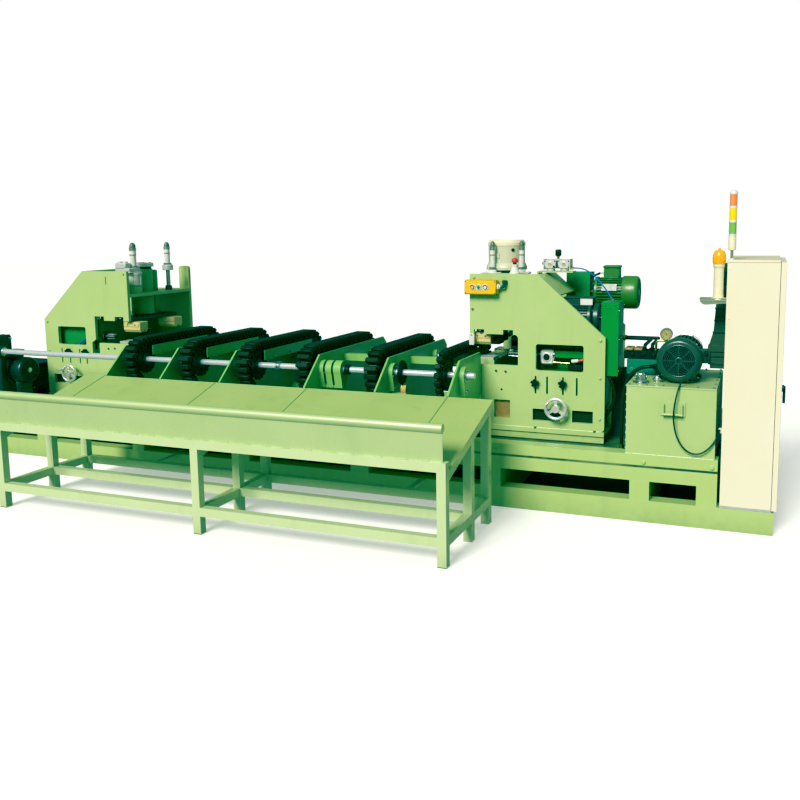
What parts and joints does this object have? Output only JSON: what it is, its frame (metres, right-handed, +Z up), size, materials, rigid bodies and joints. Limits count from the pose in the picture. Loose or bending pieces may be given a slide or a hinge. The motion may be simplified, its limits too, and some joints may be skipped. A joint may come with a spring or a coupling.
{
  "type": "double-end bar chamfering machine",
  "caption": "Long machine that chamfers both ends of bars and tubes: welded bed, two facing heads with clamps and spindles, chain conveyors, collecting table, hydraulic unit and cabinet.",
  "frame": {"origin": "middle of the machine's bounding box, on the floor", "axes": "+X along the bed towards the control cabinet, +Y away from the operator, +Z up"},
  "size_m": [6.234, 2.552, 1.893],
  "materials": {
    "green": "gloss enamel",
    "dark_green": "gloss enamel",
    "bright_green": "gloss enamel",
    "cream": "satin enamel",
    "steel": "ground",
    "chrome": "polished",
    "black": "oily",
    "black_plastic": "moulded",
    "yellow_plastic": "moulded",
    "red_plastic": "moulded",
    "green_plastic": "moulded",
    "white_plastic": "moulded",
    "air_unit": "cast",
    "rubber": "extruded",
    "blue_hose": "extruded",
    "signal": "moulded"
  },
  "bodies": {
    "root": {"air_hose": "blue_hose", "air_unit": "air_unit", "beacon_post": "cream", "bed_frame": "green", "bed_rails": "steel", "bed_side_bars": "green", "button_box": "yellow_plastic", "cabinet_body": "cream", "chute_sheet": "green", "conveyor_chains": "black", "conveyor_gear_motor": "dark_green", "conveyor_plates": "green", "hydraulic_hose": "rubber", "power_lead": "rubber", "pressure_gauge": "steel", "pump_motor": "dark_green", "pump_unit": "dark_green", "right_belt_guard": "bright_green", "right_clamp_cylinder": "dark_green", "right_head_plates": "green", "signal_tower": "signal", "table_frame": "green", "table_front_sheet": "green", "tank": "green", "tank_handle": "green"},
    "conveyor_shaft": {"conveyor_shaft": "chrome"},
    "conveyor_idler_shaft": {"conveyor_idler_shaft": "steel"},
    "left_head": {"left_head_plates": "green", "left_clamp_cylinder": "dark_green", "left_belt_guard": "bright_green"},
    "right_saddle": {"right_saddle": "green", "right_motors": "dark_green"},
    "right_handwheel": {"right_handwheel": "chrome"},
    "right_front_spindle": {"right_front_spindle": "steel"},
    "right_front_motor_pulley": {"right_front_motor_pulley": "steel"},
    "right_rear_spindle": {"right_rear_spindle": "steel"},
    "right_rear_motor_pulley": {"right_rear_motor_pulley": "steel"},
    "right_clamp": {"right_clamp": "steel"},
    "right_star_knob_a": {"right_star_knob_a": "black_plastic"},
    "right_star_knob_b": {"right_star_knob_b": "black_plastic"},
    "left_saddle": {"left_saddle": "green", "left_motors": "dark_green"},
    "left_handwheel": {"left_handwheel": "chrome"},
    "left_front_spindle": {"left_front_spindle": "steel"},
    "left_front_motor_pulley": {"left_front_motor_pulley": "steel"},
    "left_rear_spindle": {"left_rear_spindle": "steel"},
    "left_rear_motor_pulley": {"left_rear_motor_pulley": "steel"},
    "left_clamp": {"left_clamp": "steel"},
    "left_star_knob_a": {"left_star_knob_a": "black_plastic"},
    "left_star_knob_b": {"left_star_knob_b": "black_plastic"},
    "yellow_button": {"yellow_button": "yellow_plastic"},
    "green_button": {"green_button": "green_plastic"},
    "white_button": {"white_button": "white_plastic"},
    "emergency_stop_button": {"emergency_stop_button": "red_plastic"},
    "regulator_knob": {"regulator_knob": "black_plastic"},
    "filler_cap": {"filler_cap": "chrome"},
    "pump_motor_rotor": {"pump_motor_rotor": "steel"},
    "cabinet_door": {"cabinet_door": "cream"},
    "door_latch": {"door_latch": "black_plastic"}
  },
  "joints": [
    {"name": "conveyor_shaft_turn", "type": "hinge", "parent": "root", "child": "conveyor_shaft", "pos_m": [-0.917, -0.194, 0.803], "axis": [1, 0, 0], "continuous": true},
    {"name": "conveyor_idler_turn", "type": "hinge", "parent": "root", "child": "conveyor_idler_shaft", "pos_m": [0.083, 0.566, 0.803], "axis": [1, 0, 0], "continuous": true},
    {"name": "left_head_slide", "type": "slide", "parent": "root", "child": "left_head", "axis": [1, 0, 0], "range_m": [-0.15, 0.1]},
    {"name": "right_saddle_slide", "type": "slide", "parent": "root", "child": "right_saddle", "axis": [1, 0, 0], "range_m": [-0.02, 0.02]},
    {"name": "right_handwheel_turn", "type": "hinge", "parent": "root", "child": "right_handwheel", "pos_m": [1.775, 0.148, 0.557], "axis": [0, 1, 0], "range_deg": [-58, 58]},
    {"name": "right_front_spindle_spin", "type": "hinge", "parent": "right_saddle", "child": "right_front_spindle", "pos_m": [1.58, 0.326, 0.88], "axis": [1, 0, 0], "continuous": true},
    {"name": "right_front_motor_spin", "type": "hinge", "parent": "right_saddle", "child": "right_front_motor_pulley", "pos_m": [1.88, 0.376, 1.125], "axis": [1, 0, 0], "continuous": true},
    {"name": "right_rear_spindle_spin", "type": "hinge", "parent": "right_saddle", "child": "right_rear_spindle", "pos_m": [1.58, 0.756, 0.88], "axis": [1, 0, 0], "continuous": true},
    {"name": "right_rear_motor_spin", "type": "hinge", "parent": "right_saddle", "child": "right_rear_motor_pulley", "pos_m": [1.88, 0.756, 1.265], "axis": [1, 0, 0], "continuous": true},
    {"name": "right_clamp_slide", "type": "slide", "parent": "root", "child": "right_clamp", "axis": [0, 0, 1], "range_m": [-0.035, 0]},
    {"name": "right_star_knob_a_turn", "type": "hinge", "parent": "root", "child": "right_star_knob_a", "pos_m": [1.627, 0.186, 0.711], "axis": [0, 1, 0], "range_deg": [-180, 180]},
    {"name": "right_star_knob_b_turn", "type": "hinge", "parent": "root", "child": "right_star_knob_b", "pos_m": [1.807, 0.186, 0.713], "axis": [0, 1, 0], "range_deg": [-180, 180]},
    {"name": "left_saddle_slide", "type": "slide", "parent": "left_head", "child": "left_saddle", "axis": [1, 0, 0], "range_m": [-0.02, 0.02]},
    {"name": "left_handwheel_turn", "type": "hinge", "parent": "left_head", "child": "left_handwheel", "pos_m": [-2.203, 0.148, 0.591], "axis": [0, 1, 0], "range_deg": [-58, 58]},
    {"name": "left_front_spindle_spin", "type": "hinge", "parent": "left_saddle", "child": "left_front_spindle", "pos_m": [-2.027, 0.326, 0.88], "axis": [1, 0, 0], "continuous": true},
    {"name": "left_front_motor_spin", "type": "hinge", "parent": "left_saddle", "child": "left_front_motor_pulley", "pos_m": [-2.327, 0.396, 0.72], "axis": [1, 0, 0], "continuous": true},
    {"name": "left_rear_spindle_spin", "type": "hinge", "parent": "left_saddle", "child": "left_rear_spindle", "pos_m": [-2.027, 0.756, 0.88], "axis": [1, 0, 0], "continuous": true},
    {"name": "left_rear_motor_spin", "type": "hinge", "parent": "left_saddle", "child": "left_rear_motor_pulley", "pos_m": [-2.327, 0.836, 0.7], "axis": [1, 0, 0], "continuous": true},
    {"name": "left_clamp_slide", "type": "slide", "parent": "left_head", "child": "left_clamp", "axis": [0, 0, 1], "range_m": [-0.035, 0]},
    {"name": "left_star_knob_a_turn", "type": "hinge", "parent": "left_head", "child": "left_star_knob_a", "pos_m": [-2.067, 0.186, 0.762], "axis": [0, 1, 0], "range_deg": [-180, 180]},
    {"name": "left_star_knob_b_turn", "type": "hinge", "parent": "left_head", "child": "left_star_knob_b", "pos_m": [-2.238, 0.186, 0.76], "axis": [0, 1, 0], "range_deg": [-180, 180]},
    {"name": "yellow_button_press", "type": "slide", "parent": "root", "child": "yellow_button", "axis": [0, 1, 0], "range_m": [0, 0.004], "stiffness_N_per_m": 800, "springref_m": -0.001},
    {"name": "green_button_press", "type": "slide", "parent": "root", "child": "green_button", "axis": [0, 1, 0], "range_m": [0, 0.004], "stiffness_N_per_m": 800, "springref_m": -0.001},
    {"name": "white_button_press", "type": "slide", "parent": "root", "child": "white_button", "axis": [0, 1, 0], "range_m": [0, 0.004], "stiffness_N_per_m": 800, "springref_m": -0.001},
    {"name": "emergency_stop_press", "type": "slide", "parent": "root", "child": "emergency_stop_button", "axis": [0, 0, -1], "range_m": [0, 0.008], "stiffness_N_per_m": 1200, "springref_m": -0.006},
    {"name": "regulator_knob_turn", "type": "hinge", "parent": "root", "child": "regulator_knob", "pos_m": [1.711, 0.468, 1.54], "axis": [0, 0, 1], "range_deg": [-540, 540]},
    {"name": "filler_cap_turn", "type": "hinge", "parent": "root", "child": "filler_cap", "pos_m": [2.341, -0.129, 0.84], "axis": [0, 0, 1], "range_deg": [0, 90]},
    {"name": "pump_motor_spin", "type": "hinge", "parent": "root", "child": "pump_motor_rotor", "pos_m": [2.548, -0.084, 0.94], "axis": [0, 1, 0], "continuous": true},
    {"name": "cabinet_door_swing", "type": "hinge", "parent": "root", "child": "cabinet_door", "pos_m": [3.097, 0.5795, 0.82], "axis": [0, 0, 1], "range_deg": [0, 110]},
    {"name": "door_latch_turn", "type": "hinge", "parent": "cabinet_door", "child": "door_latch", "pos_m": [3.097, -0.164, 0.82], "axis": [1, 0, 0], "range_deg": [0, 90]}
  ],
  "couplings": [
    {"joint": "conveyor_idler_turn", "follows": "conveyor_shaft_turn", "ratio": 1},
    {"joint": "right_handwheel_turn", "follows": "right_saddle_slide", "rad_per_m": -50},
    {"joint": "right_front_motor_spin", "follows": "right_front_spindle_spin", "ratio": 1},
    {"joint": "right_rear_motor_spin", "follows": "right_rear_spindle_spin", "ratio": 1},
    {"joint": "left_handwheel_turn", "follows": "left_saddle_slide", "rad_per_m": -50},
    {"joint": "left_front_motor_spin", "follows": "left_front_spindle_spin", "ratio": 1},
    {"joint": "left_rear_motor_spin", "follows": "left_rear_spindle_spin", "ratio": 1}
  ]
}
